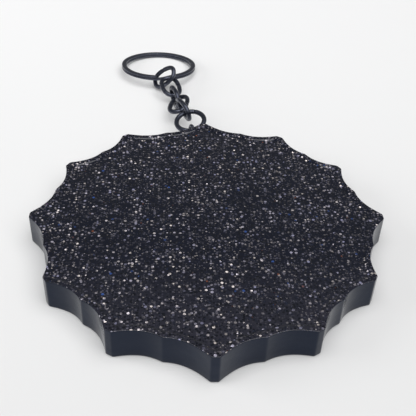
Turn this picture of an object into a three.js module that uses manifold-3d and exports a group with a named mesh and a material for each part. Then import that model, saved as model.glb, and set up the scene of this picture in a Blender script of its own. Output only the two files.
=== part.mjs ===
// Cast-resin keychain charm: a twelve-point scalloped puck in three poured layers, a small screw
// eye, a jump ring, a short curb chain and a split key ring, lying flat on a table.
// Millimetres, +Z up. The origin is the centre of the puck's flat underside; +Y points to the
// tip that carries the chain.
import * as THREE from 'three';
import { mergeVertices } from 'three/addons/utils/BufferGeometryUtils.js';
import Module from 'manifold-3d';

const wasm = await Module();
wasm.setup();

// ---- Driving dimensions -------------------------------------------------------------------

const tipCount = 12;
const tipRadius = 42;         // centre to the blunt end of an even tip
const tipWidth = 1.7;         // width of a blunt tip end
const cuspRadius = 39;        // centre to the small cusp between two even tips
const scallopDip = 1.15;      // how far each scallop bows in towards the centre
const scallopSteps = 5;

// The hand-made mould is not quite even. From the +Y tip round towards -X, each tip reaches this
// much past the even radius and is turned by this many degrees.
const tipReach = [0.9, 0.6, 0.2, 0.5, -0.3, -0.3, 0.7, -0.2, -0.5, 0.4, -0.5, 0.1];
const tipTurn = [0.2, 1.2, -1.2, -0.7, 0.9, -0.6, 0, 1, -0.1, 1.2, 1.5, -0.1];

const puckHeight = 7.7;
const backingTop = 6.0;
const glitterTop = 7.0;
const coatFace = 7.4;         // the face inside the raised rim
const rimWidth = 1.1;
const rimRoot = 0.1;          // how far the rim reaches down into the coat before it is joined
const backingChamfer = 0.25;

const wire = 1.4;             // diameter of the chain and jump ring wire
const wireSides = 8;
const seamGap = 0.12;         // open butt seam in each bent wire

const eyeWire = 0.9;
const eyeLoop = 1.7;          // radius of the eye's wire centreline
const eyeSteps = 26;
const eyeBearing = 20;        // degrees from +Y towards -X
const shankLength = 7.5;
const shankSides = 10;
const neckLength = 0.6;       // how much of the shank stands between the loop and its hole
const pilotDepth = 9.5;
const pilotClearance = 0.3;
const pilotSides = 16;

const jumpRadius = 4.1;       // centreline radius of the jump ring
const jumpSteps = 34;

const linkLength = 8.4;       // centreline length and width of a chain link
const linkWidth = 5.3;
const linkSquareness = 2.4;   // exponent of the link's superellipse; 2 is a plain ellipse
const linkSteps = 36;

const keyRadius = 11.75;      // centreline radius of the split ring
const coilWidth = 1.5;
const coilHeight = 0.66;
const coilPitch = 0.78;
const coilChamfer = 0.16;
const coilOverlap = 330;      // degrees that each coil runs flat
const coilRamp = 30;          // degrees of the step from one coil to the other
const coilSteps = 76;

// ---- Helpers ------------------------------------------------------------------------------

const rad = THREE.MathUtils.degToRad;

function polar(radius, degrees) {
  const angle = rad(degrees);
  return new THREE.Vector2(-radius * Math.sin(angle), radius * Math.cos(angle));
}

// A point on the shallow bow between two corners, t from 0 to 1.
function bowPoint(from, to, dip, t) {
  const point = from.clone().lerp(to, t);
  const inward = point.clone().normalize().multiplyScalar(-4 * dip * t * (1 - t));
  return point.add(inward);
}

// One end of a tip's blunt edge: side -1 is met first going round from +Y towards -X, side 1 next.
function tipCorner(tip, side) {
  const index = tip % tipCount;
  const radius = tipRadius + tipReach[index];
  const halfTip = THREE.MathUtils.radToDeg(tipWidth / 2 / radius);
  const turn = (tip * 360) / tipCount + tipTurn[index];
  return polar(radius, turn + side * halfTip);
}

// The small cusp midway between a tip and the next one round.
function cuspAfter(tip) {
  const next = (tip + 1) % tipCount;
  const reach = (tipReach[tip] + tipReach[next]) / 4;
  const turn = (tipTurn[tip] + tipTurn[next]) / 2;
  return polar(cuspRadius + reach, ((tip + 0.5) * 360) / tipCount + turn);
}

// The puck's outline, moved inwards by `inset`.
function puckOutline(inset = 0) {
  const points = [];
  for (let tip = 0; tip < tipCount; tip += 1) {
    const corner = tipCorner(tip, 1);
    const cusp = cuspAfter(tip);
    const nextCorner = tipCorner(tip + 1, -1);
    for (const [from, to] of [[corner, cusp], [cusp, nextCorner]]) {
      for (let step = 0; step < scallopSteps; step += 1) {
        points.push(bowPoint(from, to, scallopDip, step / scallopSteps));
      }
    }
    points.push(nextCorner);
  }
  return points.map((point) => point.multiplyScalar(1 - inset / point.length()));
}

function slab(shape, bottom, top, bevel = 0) {
  const geometry = new THREE.ExtrudeGeometry(shape, {
    depth: top - bottom - 2 * bevel,
    bevelEnabled: bevel > 0,
    bevelThickness: bevel,
    bevelSize: bevel,
    bevelOffset: -bevel,
    bevelSegments: 1,
    steps: 1,
  });
  return geometry.translate(0, 0, bottom + bevel);
}

function toSolid(geometry) {
  const bare = geometry.clone();
  bare.deleteAttribute('normal');
  bare.deleteAttribute('uv');
  const merged = mergeVertices(bare, 1e-5);
  return new wasm.Manifold(new wasm.Mesh({
    numProp: 3,
    vertProperties: new Float32Array(merged.attributes.position.array),
    triVerts: new Uint32Array(merged.index.array),
  }));
}

function fromSolid(solid) {
  const mesh = solid.getMesh();
  const geometry = new THREE.BufferGeometry();
  geometry.setAttribute('position', new THREE.BufferAttribute(mesh.vertProperties, 3));
  geometry.setIndex(new THREE.BufferAttribute(mesh.triVerts, 1));
  geometry.computeVertexNormals();
  return geometry;
}

function circleShape(radius, sides) {
  const points = [];
  for (let side = 0; side < sides; side += 1) {
    const angle = (2 * Math.PI * side) / sides;
    points.push(new THREE.Vector2(radius * Math.cos(angle), radius * Math.sin(angle)));
  }
  return new THREE.Shape(points);
}

function sweep(curve, shape, steps) {
  return new THREE.ExtrudeGeometry(shape, { steps, extrudePath: curve, bevelEnabled: false });
}

// ---- Curves -------------------------------------------------------------------------------

// A flat wire ring with an open butt seam, starting at `seam` degrees.
class RingCurve extends THREE.Curve {
  constructor(radius, seam) {
    super();
    this.radius = radius;
    this.seam = rad(seam);
    this.gap = seamGap / radius;
  }

  getPoint(t) {
    const angle = this.seam + this.gap / 2 + t * (2 * Math.PI - this.gap);
    return new THREE.Vector3(this.radius * Math.cos(angle), this.radius * Math.sin(angle), 0);
  }
}

// A curb link: a long loop whose two ends are turned against each other about its long axis, X.
class LinkCurve extends THREE.Curve {
  constructor(twist) {
    super();
    this.twist = rad(twist);
    this.gap = (2 * seamGap) / linkWidth;
  }

  getPoint(t) {
    const angle = Math.PI / 2 + this.gap / 2 + t * (2 * Math.PI - this.gap);
    const power = 2 / linkSquareness;
    const round = (value) => Math.sign(value) * Math.abs(value) ** power;
    const along = (linkLength / 2) * round(Math.cos(angle));
    const across = (linkWidth / 2) * round(Math.sin(angle));
    const turn = (this.twist * along) / linkLength;
    return new THREE.Vector3(along, across * Math.cos(turn), across * Math.sin(turn));
  }
}

// Two flat coils joined by a short ramp.
class SplitRingCurve extends THREE.Curve {
  getPoint(t) {
    const turned = t * (2 * coilOverlap + coilRamp);
    const angle = rad(turned);
    const climb = THREE.MathUtils.clamp((turned - coilOverlap) / coilRamp, 0, 1);
    const height = coilPitch * (THREE.MathUtils.smoothstep(climb, 0, 1) - 0.5);
    return new THREE.Vector3(keyRadius * Math.cos(angle), keyRadius * Math.sin(angle), height);
  }
}

// ---- Places -------------------------------------------------------------------------------

const eyePlace = { at: [-3.3, 43.9, 4.45], bearing: eyeBearing };
const jumpPlace = { at: [-3.8, 47.9, 5.5], tilt: [11.5, -8.5], seam: 70 };
const keyPlace = { at: [-14.1, 89.7, 2.3], tilt: [-7, 0.5], start: -62 };

// Chain links from the key ring to the jump ring: the middle of each link, the bearing of its
// long axis, how far that axis rises, and how far the link is rolled about it, in degrees.
const linkTwist = -7;
const linkPlaces = [
  { at: [-11.9, 77.3, 4.4], bearing: -20, rise: 40, roll: 40 },
  { at: [-9.8, 72.3, 3.7], bearing: 107, rise: 13, roll: 0 },
  { at: [-8.4, 65.8, 3.4], bearing: 104, rise: -7, roll: 86 },
  { at: [-7.2, 59.5, 4.5], bearing: 79, rise: 3, roll: -17 },
  { at: [-5.7, 54.2, 5.8], bearing: 110, rise: -7, roll: 73 },
];

// ---- Pieces -------------------------------------------------------------------------------

const charm = new THREE.Group();
charm.name = 'resin_keychain';

function addPiece(name, geometry, look) {
  const mesh = new THREE.Mesh(geometry, new THREE.MeshStandardMaterial(look));
  mesh.name = name;
  charm.add(mesh);
  return mesh;
}

const blackWire = { color: 0x23262c, roughness: 0.38, metalness: 0.7 };

// The eye points along +X before it is placed, with its loop around the origin.
function screwEyeGeometry() {
  const loop = sweep(new RingCurve(eyeLoop, 0), circleShape(eyeWire / 2, wireSides), eyeSteps);
  const neck = new THREE.CylinderGeometry(eyeWire / 2, eyeWire / 2, shankLength, shankSides);
  neck.rotateZ(Math.PI / 2);
  neck.translate(-eyeLoop - shankLength / 2, 0, 0);
  return fromSolid(toSolid(loop).add(toSolid(neck)));
}

function placeEye(mesh) {
  mesh.rotation.order = 'ZYX';
  mesh.rotation.set(Math.PI / 2, 0, rad(90 + eyePlace.bearing));
  mesh.position.set(...eyePlace.at);
  return mesh;
}

// The blind hole in the wall for the eye's shank.
function pilotHole() {
  const radius = eyeWire / 2 + pilotClearance;
  const hole = new THREE.CylinderGeometry(radius, radius, pilotDepth, pilotSides);
  hole.rotateZ(Math.PI / 2);
  hole.translate(-eyeLoop - pilotDepth / 2 - neckLength + pilotClearance, 0, 0);
  const holder = placeEye(new THREE.Mesh(hole));
  holder.updateMatrixWorld();
  return hole.applyMatrix4(holder.matrixWorld);
}

function resinBacking() {
  const body = slab(new THREE.Shape(puckOutline()), 0, backingTop, backingChamfer);
  return fromSolid(toSolid(body).subtract(toSolid(pilotHole())));
}

function glitterLayer() {
  return slab(new THREE.Shape(puckOutline()), backingTop, glitterTop);
}

function clearCoat() {
  const plate = slab(new THREE.Shape(puckOutline()), glitterTop, coatFace);
  const rimShape = new THREE.Shape(puckOutline());
  rimShape.holes.push(new THREE.Path(puckOutline(rimWidth)));
  const rim = slab(rimShape, coatFace - rimRoot, puckHeight);
  return fromSolid(toSolid(plate).add(toSolid(rim)));
}

addPiece('resin_backing', resinBacking(), { color: 0x14171d, roughness: 0.12, metalness: 0 });
addPiece('glitter_layer', glitterLayer(), { color: 0x2b2f3b, roughness: 0.25, metalness: 0.35 });
addPiece('clear_top_coat', clearCoat(), { color: 0x30343f, roughness: 0.06, metalness: 0 });
placeEye(addPiece('screw_eye', screwEyeGeometry(), blackWire));

const wireSection = circleShape(wire / 2, wireSides);
const jumpCurve = new RingCurve(jumpRadius, jumpPlace.seam);
const jumpRing = addPiece('jump_ring', sweep(jumpCurve, wireSection, jumpSteps), blackWire);
jumpRing.rotation.set(rad(jumpPlace.tilt[0]), rad(jumpPlace.tilt[1]), 0);
jumpRing.position.set(...jumpPlace.at);

linkPlaces.forEach((place, index) => {
  const geometry = sweep(new LinkCurve(linkTwist), wireSection, linkSteps);
  const link = addPiece(`chain_link_${index + 1}`, geometry, blackWire);
  link.rotation.order = 'ZYX';
  link.rotation.set(rad(place.roll), rad(-place.rise), rad(place.bearing));
  link.position.set(...place.at);
});

function coilSection() {
  const up = coilHeight / 2;
  const out = coilWidth / 2;
  const cut = coilChamfer;
  return new THREE.Shape([
    new THREE.Vector2(-up, -out + cut),
    new THREE.Vector2(-up + cut, -out),
    new THREE.Vector2(up - cut, -out),
    new THREE.Vector2(up, -out + cut),
    new THREE.Vector2(up, out - cut),
    new THREE.Vector2(up - cut, out),
    new THREE.Vector2(-up + cut, out),
    new THREE.Vector2(-up, out - cut),
  ]);
}

const coils = sweep(new SplitRingCurve(), coilSection(), coilSteps);
const keyRing = addPiece('split_key_ring', coils, blackWire);
keyRing.rotation.set(rad(keyPlace.tilt[0]), rad(keyPlace.tilt[1]), rad(keyPlace.start));
keyRing.position.set(...keyPlace.at);

export default charm;
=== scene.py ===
"""The looks of a glitter-resin keychain charm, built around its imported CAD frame, in metres.

The puck is lofted from one scalloped outline, and each wire is swept along a centreline worked
out from its CAD node's place, axes and extent. What a node can't tell, such as the diameter of
its wire, its twist and where its ends lie, repeats the CAD source's values below.
"""
import math

import bpy
import numpy as np
from mathutils import Matrix, Vector


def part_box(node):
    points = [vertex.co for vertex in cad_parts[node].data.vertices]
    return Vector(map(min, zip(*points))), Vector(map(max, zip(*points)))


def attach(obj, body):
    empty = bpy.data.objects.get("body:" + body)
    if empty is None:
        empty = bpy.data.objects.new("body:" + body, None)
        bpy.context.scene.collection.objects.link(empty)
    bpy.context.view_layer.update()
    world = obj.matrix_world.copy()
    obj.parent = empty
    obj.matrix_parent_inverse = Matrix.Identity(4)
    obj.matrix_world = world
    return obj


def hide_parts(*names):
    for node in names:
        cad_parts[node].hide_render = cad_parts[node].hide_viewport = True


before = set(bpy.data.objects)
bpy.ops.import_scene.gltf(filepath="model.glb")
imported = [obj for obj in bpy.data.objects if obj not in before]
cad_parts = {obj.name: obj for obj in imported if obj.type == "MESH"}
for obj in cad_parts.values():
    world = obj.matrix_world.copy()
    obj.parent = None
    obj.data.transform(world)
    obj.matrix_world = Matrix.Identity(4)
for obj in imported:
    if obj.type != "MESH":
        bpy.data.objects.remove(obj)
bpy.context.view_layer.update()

MM = 0.001

# ---- Dimensions that the looks need beside the frame's -------------------------------------

SCALLOP_DIP = 1.15 * MM        # how far each bow of the outline dips towards the centre
SHORTEST_BOW = 4 * MM          # a shorter run between two corners is a tip's straight end
CORNER_SOFTNESS = 0.16 * MM    # how far the casting rounds the outline's corners
OUTLINE_POINTS = 1200
SOFTENING_REACH = 6            # how many points to each side the softening averages
NEAREST_GAP = 0.05 * MM        # keeps a point on the outline from an endless weight
POINTS_AT_ONCE = 2000          # keeps the distances of one block of points small in memory

LIP_ROUND = 0.15 * MM          # radius of the edge at the top of the wall
FOOT_ROUND = 0.45 * MM         # radius of the edge around the underside
LIP_CREST = 1.05 * MM          # how far in from the wall the raised lip starts to fall
LIP_FOOT = 2.0 * MM            # how far in the lip has flowed out into the face
FACE_SINK = 0.26 * MM          # how far the face lies under the lip
RIPPLE = 0.012 * MM            # height of each wave on the cured face
RIPPLE_DROP = 0.035 * MM       # lowers the face by about as much as the waves' highest crest
RIPPLE_WAVES = ((0.31, 0.12, 0), (-0.17, 0.22, 1.3), (0.45, 0.4, 4))  # radians per mm in X, in Y, start
CORE_INSET = 20 * MM           # how far in the faces between two pours are closed off
COAT_FOOT = 0.2 * MM           # height of the coat's lowest strip of wall
WALL_RINGS = (2 * MM, 4 * MM)  # heights of the extra rings up the backing's wall
SHARP_ANGLE = 38               # faces that meet at more degrees than this keep a crisp edge

LINK_SQUARENESS = 2.4          # exponent of a link's superellipse
LINK_TWIST = -7                # degrees from one end of a link to the other
SEAM_GAP = 0.07 * MM           # open butt seam in each bent wire
JUMP_SEAM = 70                 # where the jump ring's seam lies, in degrees about its axis
WIRE = 1.4 * MM                # diameter of the chain and jump ring wire
WIRE_BEVEL = 0.1 * MM          # how far the cut ends of a round wire are rounded

EYE_WIRE = 0.9 * MM
EYE_LOOP = (212, 527)          # degrees that the eye's loop runs from and to
EYE_NECK = 0.95 * MM           # how far short of the loop the straight shank ends
EYE_PULLS = (0.5 * MM, 0.55 * MM)  # how long the bend keeps to the shank and to the loop

COIL_WIDTH = 1.5 * MM
COIL_HEIGHT = 0.66 * MM
COIL_PITCH = 0.78 * MM
COIL_FLAT = 330                # degrees that each coil of the split ring runs flat
COIL_RAMP = 30                 # degrees of the step from one coil to the other
COIL_START = -62               # where the lower coil's end lies, in degrees about the ring
COIL_BEVEL = 0.12 * MM         # how far the cut ends of the coils are rounded
COIL_SQUARENESS = 5            # exponent of the flat wire's superellipse
COIL_STEPS = 620

END_RINGS = (0.72, 0.93)       # the size of a wire's last two rings as a part of its section
END_SPACING = 0.6              # how far apart those rings stand, as a part of the bevel

# Beds of flakes, the finest first: cell size, reach of a flake in cells, shift of the pattern,
# how rare bright flakes are (an exponent), and how bright they get.
FLAKE_BEDS = (
    (0.5 * MM, 0.38, 0.0, 2.6, 0.26),
    (0.75 * MM, 0.36, 3 * MM, 7.0, 1.0),
    (1.15 * MM, 0.24, 7 * MM, 9.0, 1.8),
)
FLAKE_METAL = 0.75             # how metallic a flake is
FLAKE_TILT = 0.75              # how far a flake leans
FLAKE_FLOOR = (0.008, 0.010, 0.019)  # colour added to every flake, even the dullest
VIVID_CHANCE = (0.993, 0.994)  # draws from here up make a flake orange or blue
VIVID_LEAST = 0.35             # the least brightness of such a flake

WORLD_COLOUR = (0.97, 0.98, 1.0, 1)
WORLD_STRENGTH = 0.16
LIGHT_TARGET = (0, 0.02, 0)
FLOOR_HALF = 2.0               # metres from the floor's middle to its sides
FLOOR_NEAR, FLOOR_FAR = 0.64, 0.97  # greys in front of and behind the object: painted light falloff on the floor

# ---- Mesh helpers --------------------------------------------------------------------------


def unit(vectors):
    """Vectors, one to a row, made one long."""
    return vectors / np.linalg.norm(vectors, axis=-1, keepdims=True)


def skin(name, rings, looks, bands=None):
    """A closed mesh over rings of points, an array of ring x point x 3, with a fan over each end.

    bands gives the material number of each strip between two rings.
    """
    ring_count, point_count, _ = rings.shape
    vertices = rings.reshape(-1, 3)
    first, last = rings[0].mean(axis=0), rings[-1].mean(axis=0)
    vertices = np.vstack([vertices, first, last])
    this = np.arange(point_count)
    after = (this + 1) % point_count
    faces = []
    numbers = []
    for ring in range(ring_count - 1):
        low, high = ring * point_count, (ring + 1) * point_count
        strip = np.stack([low + this, low + after, high + after, high + this], axis=-1)
        faces.extend(strip.tolist())
        numbers.extend([bands[ring] if bands else 0] * point_count)
    start_centre, end_centre = len(vertices) - 2, len(vertices) - 1
    top = (ring_count - 1) * point_count
    faces.extend(np.stack([0 * this + start_centre, after, this], axis=-1).tolist())
    faces.extend(np.stack([0 * this + end_centre, top + this, top + after], axis=-1).tolist())
    numbers.extend([bands[0] if bands else 0] * point_count)
    numbers.extend([bands[-1] if bands else 0] * point_count)
    mesh = bpy.data.meshes.new(name)
    mesh.from_pydata(vertices.tolist(), [], faces)
    for look in looks:
        mesh.materials.append(look)
    mesh.polygons.foreach_set("material_index", numbers)
    mesh.polygons.foreach_set("use_smooth", [True] * len(faces))
    mesh.update()
    if signed_volume(mesh) < 0:
        mesh.flip_normals()
    mesh.set_sharp_from_angle(angle=math.radians(SHARP_ANGLE))
    piece = bpy.data.objects.new(name, mesh)
    bpy.context.collection.objects.link(piece)
    return piece


def signed_volume(mesh):
    """Six times the volume inside a closed mesh, below zero where its faces point in."""
    mesh.calc_loop_triangles()
    points = np.array([v.co for v in mesh.vertices])
    corners = np.array([t.vertices for t in mesh.loop_triangles])
    a, b, c = points[corners[:, 0]], points[corners[:, 1]], points[corners[:, 2]]
    return float(np.einsum("ij,ij->i", a, np.cross(b, c)).sum())


def finish_piece(piece, body, slot, *nodes):
    """Rides a piece on its body in place of CAD nodes; the slot it is given is not used."""
    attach(piece, body)
    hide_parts(*nodes)
    return piece


def node_axes(name):
    """A CAD node's area-weighted centre, its axes from longest to shortest and its points."""
    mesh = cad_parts[name].data
    weights = np.array([p.area for p in mesh.polygons])
    centres = np.array([p.center for p in mesh.polygons])
    middle = (centres * weights[:, None]).sum(axis=0) / weights.sum()
    spread = (centres - middle).T @ ((centres - middle) * weights[:, None])
    _, vectors = np.linalg.eigh(spread)
    axes = vectors[:, ::-1].T.copy()
    axes[2] = np.cross(axes[0], axes[1])
    points = np.array([v.co for v in mesh.vertices])
    return middle, axes, points


# ---- Materials -----------------------------------------------------------------------------


class Look:
    """A node material: add() makes a node with its inputs set or linked."""

    def __init__(self, name):
        self.material = bpy.data.materials.new(name)
        self.material.use_nodes = True
        self.tree = self.material.node_tree
        self.surface = self.tree.nodes["Principled BSDF"]
        self.place = self.add("TexCoord").outputs["Object"]

    def feed(self, socket, value):
        """Links a socket to another one, or sets its value."""
        if isinstance(value, bpy.types.NodeSocket):
            self.tree.links.new(value, socket)
        else:
            socket.default_value = value

    def add(self, kind, inputs=None, **settings):
        """A shader node with its settings, and its inputs by name or number."""
        made = self.tree.nodes.new("ShaderNode" + kind)
        for key, value in settings.items():
            setattr(made, key, value)
        for key, value in (inputs or {}).items():
            self.feed(made.inputs[key], value)
        return made

    def math(self, operation, a, b=0.0):
        """The result of a Math node."""
        return self.add("Math", {0: a, 1: b}, operation=operation).outputs[0]

    def vector(self, operation, a, b=(0, 0, 0), output=0):
        """The result of a Vector Math node."""
        return self.add("VectorMath", {0: a, 1: b}, operation=operation).outputs[output]

    def scaled(self, vector, factor):
        """A vector times a factor that is a socket."""
        return self.add("VectorMath", {0: vector, "Scale": factor}, operation="SCALE").outputs[0]

    def rescale(self, value, low, high, to_low=0.0, to_high=1.0, smooth=False):
        """A value carried from one range to another, and held inside it."""
        kind = "SMOOTHSTEP" if smooth else "LINEAR"
        inputs = {"Value": value, "From Min": low, "From Max": high, "To Min": to_low, "To Max": to_high}
        return self.add("MapRange", inputs, interpolation_type=kind).outputs["Result"]

    def mix(self, factor, a, b):
        """Colour a where the factor is 0 and b where it is 1."""
        return self.add("Mix", {0: factor, 6: a, 7: b}, data_type="RGBA").outputs[2]

    def noise(self, scale, detail):
        """Cloudy noise fixed to the object, scale cells to the metre."""
        inputs = {"Vector": self.place, "Scale": scale, "Detail": detail}
        return self.add("TexNoise", inputs).outputs["Fac"]

    def bump(self, height, strength, distance):
        """A normal that follows a height."""
        inputs = {"Height": height, "Strength": strength, "Distance": distance}
        return self.add("Bump", inputs).outputs["Normal"]

    def set(self, **inputs):
        """Feeds the surface shader's inputs, with _ for the spaces in their names."""
        for key, value in inputs.items():
            self.feed(self.surface.inputs[key.replace("_", " ")], value)


def grey(level):
    """An even grey."""
    return (level, level, level, 1)


def resin_look():
    """Blue-black cast resin, as the mould left it: glossy, with faint flow marks and handling haze."""
    look = Look("dark_resin")
    cloud = look.noise(90.0, 4.0)
    haze = look.noise(420.0, 5.0)
    colour = look.mix(look.rescale(cloud, 0.35, 0.7), (0.001, 0.0025, 0.008, 1), (0.002, 0.0045, 0.013, 1))
    look.set(Base_Color=colour, IOR=1.43, Specular_Tint=(0.43, 0.55, 0.85, 1))
    look.set(Roughness=look.rescale(haze, 0.3, 0.75, 0.10, 0.24))
    look.set(Normal=look.bump(look.noise(230.0, 2.0), 0.22, 0.0004))
    return look.material


def flake_layer(look, size, reach, shift):
    """One bed of round flakes: its mask, and a random colour for each flake."""
    moved = look.vector("ADD", look.place, (shift, shift * 0.7, shift * 1.3))
    cells = look.add("TexVoronoi", {"Vector": moved, "Scale": 1 / size, "Randomness": 1.0})
    mask = look.rescale(cells.outputs["Distance"], reach + 0.09, reach - 0.05, smooth=True)
    return mask, cells.outputs["Color"]


def glitter_density(look, drift, across):
    """How bright flakes may be by place: in drifts, more so by the edge, less so in front."""
    swirl = look.noise(420.0, 3.0)
    drifts = look.rescale(drift, 0.3, 0.7, 0.45, 1.5)
    density = look.math("MULTIPLY", drifts, look.rescale(swirl, 0.3, 0.7, 0.6, 1.4))
    radius = look.vector("LENGTH", look.vector("MULTIPLY", look.place, (1, 1, 0)), output="Value")
    edge = look.rescale(radius, 33 * MM, 40 * MM, 1.0, 1.35, smooth=True)
    density = look.math("MULTIPLY", density, edge)
    return look.math("MULTIPLY", density, look.rescale(across, -40 * MM, 25 * MM, 0.7, 1.15))


def flake_colour(look, draws, density, rarity, gain):
    """A flake's colour from its three random draws: warm or cool, and rarely orange or blue."""
    bright = look.math("MULTIPLY", look.math("POWER", draws[0], rarity), gain)
    bright = look.math("MULTIPLY", bright, density)
    tint = look.mix(draws[1], (0.92, 0.83, 0.76, 1), (0.66, 0.66, 0.98, 1))
    rare = look.rescale(draws[1], *VIVID_CHANCE)
    vivid = look.mix(look.rescale(draws[2], 0.45, 0.55), (0.12, 0.3, 1.0, 1), (1.0, 0.3, 0.1, 1))
    tint = look.mix(rare, tint, vivid)
    bright = look.math("MAXIMUM", bright, look.math("MULTIPLY", rare, VIVID_LEAST * gain))
    return look.vector("ADD", look.scaled(tint, look.math("MINIMUM", bright, 1.0)), FLAKE_FLOOR)


def glitter_look():
    """Fine glitter of many tilts and tints, set in dark resin under a clear, slightly wavy coat, with a
    painted reflection that lightens the front.
    """
    look = Look("glitter_in_resin")
    drift = look.noise(150.0, 4.0)
    across = look.add("SeparateXYZ", {0: look.place}).outputs["Y"]
    density = glitter_density(look, drift, across)
    resin = look.mix(drift, (0.002, 0.003, 0.0085, 1), (0.006, 0.008, 0.018, 1))
    # painted reflection: the resin under the flakes is mixed towards a lighter grey towards the front
    painted_sheen = look.rescale(across, -8 * MM, -42 * MM, 0.0, 1.0, smooth=True)
    colour = look.mix(painted_sheen, resin, (0.019, 0.019, 0.028, 1))
    metal = 0.0
    leaning = look.add("NewGeometry").outputs["Normal"]
    for size, reach, shift, rarity, gain in FLAKE_BEDS:
        mask, chance = flake_layer(look, size, reach, shift)
        draws = look.add("SeparateColor", {0: chance}).outputs
        colour = look.mix(mask, colour, flake_colour(look, draws, density, rarity, gain))
        metal = look.math("MAXIMUM", metal, look.math("MULTIPLY", mask, FLAKE_METAL))
        lean = look.vector("SUBTRACT", chance, (0.5, 0.5, 0.5))
        tilt = look.scaled(lean, look.math("MULTIPLY", mask, FLAKE_TILT))
        leaning = look.vector("ADD", leaning, tilt)
    leaning = look.vector("NORMALIZE", leaning)
    look.set(Base_Color=colour, Metallic=metal, Normal=leaning, Specular_IOR_Level=0.0)
    look.set(Roughness=look.rescale(look.noise(900.0, 2.0), 0.3, 0.7, 0.3, 0.45))
    look.set(Coat_Weight=1.0, Coat_Roughness=0.03, Coat_IOR=1.5)
    look.set(Coat_Normal=look.bump(look.noise(110.0, 2.0), 0.12, 0.0006))
    return look.material


def wire_look():
    """Black plating over steel: satin, finely brushed by tumbling, rubbed brighter in places."""
    look = Look("black_plating")
    rub = look.rescale(look.noise(900.0, 4.0), 0.56, 0.74, smooth=True)
    grain = look.noise(3800.0, 3.0)
    colour = look.mix(rub, (0.052, 0.058, 0.083, 1), (0.12, 0.13, 0.16, 1))
    look.set(Base_Color=colour, Metallic=0.85, IOR=1.6)
    look.set(Roughness=look.rescale(grain, 0.3, 0.7, 0.24, 0.42))
    look.set(Normal=look.bump(grain, 0.12, 0.00004))
    look.set(Coat_Weight=0.35, Coat_Roughness=0.12)
    return look.material


DARK_RESIN = resin_look()
GLITTER = glitter_look()
BLACK_WIRE = wire_look()

# ---- The puck ------------------------------------------------------------------------------


def bow(start, end, steps=30):
    """Points from start up to end along a shallow arc that dips towards the centre."""
    t = np.linspace(0, 1, steps, endpoint=False)[:, None]
    line = start + (end - start) * t
    return line - unit(line) * 4 * SCALLOP_DIP * t * (1 - t)


def outline_corners(node):
    """The outward corners of a slab node's outline, in order round it: tip ends and cusps."""
    points = np.unique(np.round([v.co[:2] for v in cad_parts[node].data.vertices], 7), axis=0)
    points = points[np.argsort(np.arctan2(-points[:, 0], points[:, 1]))]
    arriving = points - np.roll(points, 1, axis=0)
    leaving = np.roll(points, -1, axis=0) - points
    turning = arriving[:, 0] * leaving[:, 1] - arriving[:, 1] * leaving[:, 0]
    return points[turning > 0]


def puck_outline():
    """The scalloped outline, its corners softened, as evenly spaced points."""
    corners = outline_corners("glitter_layer")
    runs = []
    for start, end in zip(corners, np.roll(corners, -1, axis=0)):
        is_bow = np.linalg.norm(end - start) > SHORTEST_BOW
        runs.append(bow(start, end) if is_bow else start[None])
    closed = np.vstack(runs + [corners[:1]])
    travelled = np.concatenate([[0], np.cumsum(np.linalg.norm(np.diff(closed, axis=0), axis=1))])
    stops = np.linspace(0, travelled[-1], OUTLINE_POINTS, endpoint=False)
    even = np.stack([np.interp(stops, travelled, closed[:, axis]) for axis in (0, 1)], axis=-1)
    spacing = travelled[-1] / OUTLINE_POINTS
    shifts = range(-SOFTENING_REACH, SOFTENING_REACH + 1)
    weights = np.exp(-0.5 * (np.array(shifts) * spacing / CORNER_SOFTNESS) ** 2)
    weights /= weights.sum()
    return sum(weight * np.roll(even, shift, axis=0) for weight, shift in zip(weights, shifts))


def smooth_distance(points, outline):
    """How far points lie inside the outline: exact by a straight wall, and eased where walls meet."""
    steps = np.linalg.norm(np.roll(outline, -1, axis=0) - outline, axis=1)
    result = []
    for block in np.array_split(points, 1 + len(points) // POINTS_AT_ONCE):
        gaps = np.linalg.norm(block[:, None, :2] - outline[None], axis=-1)
        weight = (steps / np.maximum(gaps, NEAREST_GAP) ** 4).sum(axis=1)
        result.append((np.pi / 2 / weight) ** (1 / 3))
    return np.concatenate(result)


def ripple(points):
    """Slight unevenness of the cured face, in metres."""
    x, y = points[:, 0] / MM, points[:, 1] / MM
    return RIPPLE * sum(np.sin(along * x + up * y + start) for along, up, start in RIPPLE_WAVES)


def puck_rings(outline, profile):
    """Rings of the outline for a profile of (inset, height) pairs."""
    distance = np.linalg.norm(outline, axis=1, keepdims=True)
    rings = []
    for inset, height in profile:
        flat = outline * (1 - inset / distance)
        rings.append(np.hstack([flat, np.full((len(flat), 1), height)]))
    return np.array(rings)


def quarter_round(radius, start, end, inset, height, steps=6):
    """Profile points on an arc about (inset, height), from start to end in degrees."""
    angles = np.radians(np.linspace(start, end, steps))
    return [(inset - radius * math.cos(a), height + radius * math.sin(a)) for a in angles]


outline = puck_outline()
backing_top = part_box("resin_backing")[1][2]
glitter_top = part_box("glitter_layer")[1][2]
puck_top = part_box("clear_top_coat")[1][2]

underside = [(inset * MM, 0.0) for inset in (36, 30, 24, 18, 12, 6, 2)]
foot = quarter_round(FOOT_ROUND, -90, 0, FOOT_ROUND, FOOT_ROUND, 8)
backing_wall = [(0, height) for height in (*WALL_RINGS, backing_top)]
backing_profile = underside + foot + backing_wall + [(CORE_INSET, backing_top)]
backing = skin("resin_backing_cast", puck_rings(outline, backing_profile), [DARK_RESIN])
finish_piece(backing, "puck", "black_resin", "resin_backing")

band_wall = [(0, backing_top), (0, glitter_top)]
band_profile = [(CORE_INSET, backing_top)] + band_wall + [(CORE_INSET, glitter_top)]
band = skin("glitter_layer_cast", puck_rings(outline, band_profile), [DARK_RESIN])
finish_piece(band, "puck", "glitter_resin", "glitter_layer")


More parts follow.
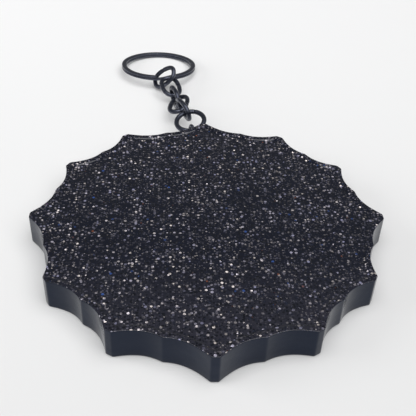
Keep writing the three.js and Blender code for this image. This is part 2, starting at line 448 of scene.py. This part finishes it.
def coat_rings():
    """Rings up the coat's wall, over its lip and across its face, and how many make up the wall."""
    wall = [(CORE_INSET, glitter_top), (0, glitter_top), (0, glitter_top + COAT_FOOT)]
    lip = quarter_round(LIP_ROUND, 0, 80, LIP_ROUND, puck_top - LIP_ROUND, 7)
    near_lip = [0.3, 0.4, 0.55, 0.7, 0.85, 1.0, 1.15, 1.3, 1.45, 1.6, 1.8, 2.0, 2.2, 2.45, 2.7, 3.0, 3.4]
    further_in = [4, 5.5, 7] + list(range(9, 36, 2))
    face = [(inset * MM, puck_top) for inset in near_lip + further_in]
    made = puck_rings(outline, wall + lip + face)
    for ring in made[len(wall) + len(lip):]:
        inside = smooth_distance(ring, outline)
        fall = np.clip((inside - LIP_CREST) / (LIP_FOOT - LIP_CREST), 0, 1)
        eased = fall * fall * (3 - 2 * fall)
        ring[:, 2] += eased * (ripple(ring) - FACE_SINK) - RIPPLE_DROP * eased
    return made, len(wall) + 3


rings, wall_strips = coat_rings()
coat_bands = [0] * wall_strips + [1] * (len(rings) - 1 - wall_strips)
coat = skin("clear_coat_cast", rings, [DARK_RESIN, GLITTER], coat_bands)
finish_piece(coat, "puck", "clear_resin", "clear_top_coat")

# ---- Wires ---------------------------------------------------------------------------------


def transported_frames(path):
    """Two directions across a path at each point, turning with it as little as they can."""
    tangents = unit(np.gradient(path, axis=0))
    side = np.cross(tangents[0], [0.3, 0.5, 0.8])
    across = []
    for tangent in tangents:
        side = side - tangent * (side @ tangent)
        side = side / np.linalg.norm(side)
        across.append(side)
    across = np.array(across)
    return across, np.cross(tangents, across)


def swept(name, path, section, across, above, bevel):
    """A wire: a section carried along an open path, with bevelled ends."""
    tangents = unit(np.gradient(path, axis=0))
    scales = np.ones(len(path))
    moved = path.copy()
    for depth, scale in enumerate(END_RINGS):
        step = bevel * depth * END_SPACING
        moved[depth] = path[0] + tangents[0] * step
        moved[-1 - depth] = path[-1] - tangents[-1] * step
        scales[depth] = scale
        scales[-1 - depth] = scale
    rings = moved[:, None] + scales[:, None, None] * (
        across[:, None] * section[None, :, :1] + above[:, None] * section[None, :, 1:]
    )
    return skin(name, rings, [BLACK_WIRE])


def round_section(diameter, sides=20):
    """A round wire's section, as (across, above) points."""
    angles = np.linspace(0, 2 * np.pi, sides, endpoint=False)
    return np.stack([np.cos(angles), np.sin(angles)], axis=-1) * diameter / 2


def wire_piece(name, path, diameter):
    """A round wire along a path."""
    across, above = transported_frames(path)
    return swept(name, path, round_section(diameter), across, above, WIRE_BEVEL)


def signed_power(value, power):
    """A power of the value's size that keeps its sign."""
    return np.sign(value) * np.abs(value) ** power


def seam_angles(seam, radius, steps):
    """Angles once round a bent wire, from one side of its seam to the other."""
    gap = SEAM_GAP / radius
    return math.radians(seam) + np.linspace(gap / 2, 2 * np.pi - gap / 2, steps)


def link_piece(node):
    """A curb link on its CAD node's own axes: its length and width come from the node."""
    middle, axes, points = node_axes(node)
    local = (points - middle) @ axes.T
    length = np.ptp(local[:, 0]) - WIRE
    width = 2 * np.hypot(local[:, 1], local[:, 2]).max() - WIRE
    angles = seam_angles(90, width / 2, 160)
    along = length / 2 * signed_power(np.cos(angles), 2 / LINK_SQUARENESS)
    over = width / 2 * signed_power(np.sin(angles), 2 / LINK_SQUARENESS)
    turn = np.radians(LINK_TWIST) * along / length
    curve = np.stack([along, over * np.cos(turn), over * np.sin(turn)], axis=-1)
    piece = wire_piece(node + "_wire", middle + curve @ axes, WIRE)
    return finish_piece(piece, node, "black_wire", node)


for number in range(1, 6):
    link_piece(f"chain_link_{number}")


def ring_axes(node):
    """A ring node's centre, two directions in its plane, the first nearest +X, and its normal."""
    _, axes, points = node_axes(node)
    normal = axes[2] * np.sign(axes[2][2])
    first = unit(np.array([1.0, 0, 0]) - normal * normal[0])
    basis = np.array([first, np.cross(normal, first), normal])
    local = points @ basis.T
    middle = (local.max(axis=0) + local.min(axis=0)) / 2 @ basis
    return middle, first, basis[1], normal, points


def jump_ring_piece():
    """The round ring of wire between the eye and the chain."""
    middle, first, second, normal, points = ring_axes("jump_ring")
    radius = np.linalg.norm(points - middle, axis=1).max() - WIRE / 2
    angles = seam_angles(JUMP_SEAM, radius, 200)
    path = middle + radius * (np.outer(np.cos(angles), first) + np.outer(np.sin(angles), second))
    return finish_piece(wire_piece("jump_ring_wire", path, WIRE), "jump_ring", "black_wire", "jump_ring")


jump_ring_piece()


def screw_eye_piece():
    """The eye's wire: a straight shank that bends into an almost closed loop."""
    middle, axes, points = node_axes("screw_eye")
    outward = axes[0] * np.sign(axes[0][1])
    local = (points - middle) @ outward
    side = unit(np.cross([0, 0, 1.0], outward))
    up = np.cross(outward, side)
    loop = np.ptp((points - middle) @ up) / 2 - EYE_WIRE / 2
    centre = middle + outward * (local.max() - loop - EYE_WIRE / 2)
    shank_end = local.min() - (local.max() - loop - EYE_WIRE / 2)
    turned = np.radians(np.linspace(*EYE_LOOP, 90))
    circle = np.stack([np.cos(turned), np.sin(turned)], axis=-1) * loop
    neck = np.stack([np.linspace(shank_end, -loop - EYE_NECK, 30), np.zeros(30)], axis=-1)
    t = np.linspace(0, 1, 16)[1:-1, None]
    start, end = neck[-1], circle[0]
    pull_start = start + np.array([EYE_PULLS[0], 0])
    pull_end = end - np.array([-math.sin(turned[0]), math.cos(turned[0])]) * EYE_PULLS[1]
    bend = (1 - t) ** 3 * start + 3 * (1 - t) ** 2 * t * pull_start
    bend = bend + 3 * (1 - t) * t * t * pull_end + t**3 * end
    flat = np.vstack([neck, bend, circle])
    path = centre + np.outer(flat[:, 0], outward) + np.outer(flat[:, 1], up)
    return finish_piece(wire_piece("screw_eye_wire", path, EYE_WIRE), "puck", "black_wire", "screw_eye")


screw_eye_piece()


def coil_section():
    """A flat wire's section, its edges rounded by rolling, as (across, above) points."""
    power = 2 / COIL_SQUARENESS
    angles = np.linspace(0, 2 * np.pi, 36, endpoint=False)
    across = COIL_WIDTH / 2 * signed_power(np.cos(angles), power)
    above = COIL_HEIGHT / 2 * signed_power(np.sin(angles), power)
    return np.stack([across, above], axis=-1)


def split_ring_piece():
    """The key ring's two flat coils, joined by a short ramp."""
    middle, first, second, normal, points = ring_axes("split_key_ring")
    offset = points - middle
    across_plane = offset - np.outer(offset @ normal, normal)
    radius = np.linalg.norm(across_plane, axis=1).max() - COIL_WIDTH / 2
    turned = np.linspace(0, 2 * COIL_FLAT + COIL_RAMP, COIL_STEPS)
    climb = np.clip((turned - COIL_FLAT) / COIL_RAMP, 0, 1)
    height = COIL_PITCH * (climb * climb * (3 - 2 * climb) - 0.5)
    angles = np.radians(turned + COIL_START)
    outward = np.outer(np.cos(angles), first) + np.outer(np.sin(angles), second)
    path = middle + radius * outward + np.outer(height, normal)
    above = np.tile(normal, (len(path), 1))
    piece = swept("split_key_ring_wire", path, coil_section(), outward, above, COIL_BEVEL)
    return finish_piece(piece, "split_key_ring", "black_wire", "split_key_ring")


split_ring_piece()

# ---- Floor, light and camera ---------------------------------------------------------------


def floor_look():
    """A pale matt table, its colour painted darker towards the camera as painted light falloff."""
    look = Look("pale_floor")
    depth = look.add("SeparateXYZ", {0: look.place}).outputs["Y"]
    # painted light falloff: the floor's colour darkens from behind the object towards the camera
    painted_falloff = look.rescale(depth, -0.10, 0.16)
    look.set(Base_Color=look.mix(painted_falloff, grey(FLOOR_NEAR), grey(FLOOR_FAR)), Roughness=0.6)
    look.set(Normal=look.bump(look.noise(700.0, 3.0), 0.05, 0.0002))
    return look.material


def floor():
    """The plane that the puck lies on."""
    mesh = bpy.data.meshes.new("floor")
    corners = [(x * FLOOR_HALF, y * FLOOR_HALF, 0) for x, y in ((-1, -1), (1, -1), (1, 1), (-1, 1))]
    mesh.from_pydata(corners, [], [(0, 1, 2, 3)])
    mesh.materials.append(floor_look())
    piece = bpy.data.objects.new("floor", mesh)
    bpy.context.collection.objects.link(piece)


def area_light(name, place, size, power):
    """A square light that faces the object."""
    light = bpy.data.lights.new(name, "AREA")
    light.shape = "SQUARE"
    light.size = size
    light.energy = power
    lamp = bpy.data.objects.new(name, light)
    lamp.location = place
    lamp.rotation_euler = (Vector(place) - Vector(LIGHT_TARGET)).to_track_quat("Z", "Y").to_euler()
    bpy.context.collection.objects.link(lamp)
    return lamp


def studio():
    """A dim even surround, a large softbox over the camera and a fill from the left."""
    world = bpy.data.worlds.new("studio")
    world.use_nodes = True
    background = world.node_tree.nodes["Background"]
    background.inputs["Color"].default_value = WORLD_COLOUR
    background.inputs["Strength"].default_value = WORLD_STRENGTH
    bpy.context.scene.world = world
    area_light("softbox", (0.06, -0.2, 0.6), size=0.95, power=6.5)
    side_fill = area_light("side_fill", (-0.6, 0.0, 0.24), size=0.4, power=1.7)
    side_fill.visible_glossy = False


TARGET = Vector((0.5, 13.43, 0.0)) * MM
CAMERA_DISTANCE = 182.05 * MM
CAMERA_AZIMUTH = math.radians(-3.4)
CAMERA_ELEVATION = math.radians(37.89)
CAMERA_ROLL = math.radians(2.55)
CAMERA_LENS = 60.46


def camera():
    """The camera at the photograph's angle."""
    lens = bpy.data.cameras.new("camera")
    lens.sensor_width = 36
    lens.lens = CAMERA_LENS
    lens.clip_start = 1 * MM
    lens.clip_end = 20
    eye = bpy.data.objects.new("camera", lens)
    flat = math.cos(CAMERA_ELEVATION)
    sideways = math.sin(CAMERA_AZIMUTH) * flat
    away = math.cos(CAMERA_AZIMUTH) * flat
    back = Vector((sideways, -away, math.sin(CAMERA_ELEVATION)))
    right = (-back).cross(Vector((0, 0, 1))).normalized()
    up = right.cross(-back)
    turned_right = right * math.cos(CAMERA_ROLL) + up * math.sin(CAMERA_ROLL)
    turned_up = up * math.cos(CAMERA_ROLL) - right * math.sin(CAMERA_ROLL)
    pose = Matrix((turned_right, turned_up, back)).transposed().to_4x4()
    pose.translation = TARGET + back * CAMERA_DISTANCE
    eye.matrix_world = pose
    bpy.context.collection.objects.link(eye)
    bpy.context.scene.camera = eye


floor()
studio()
camera()
bpy.context.scene.view_settings.view_transform = "Standard"
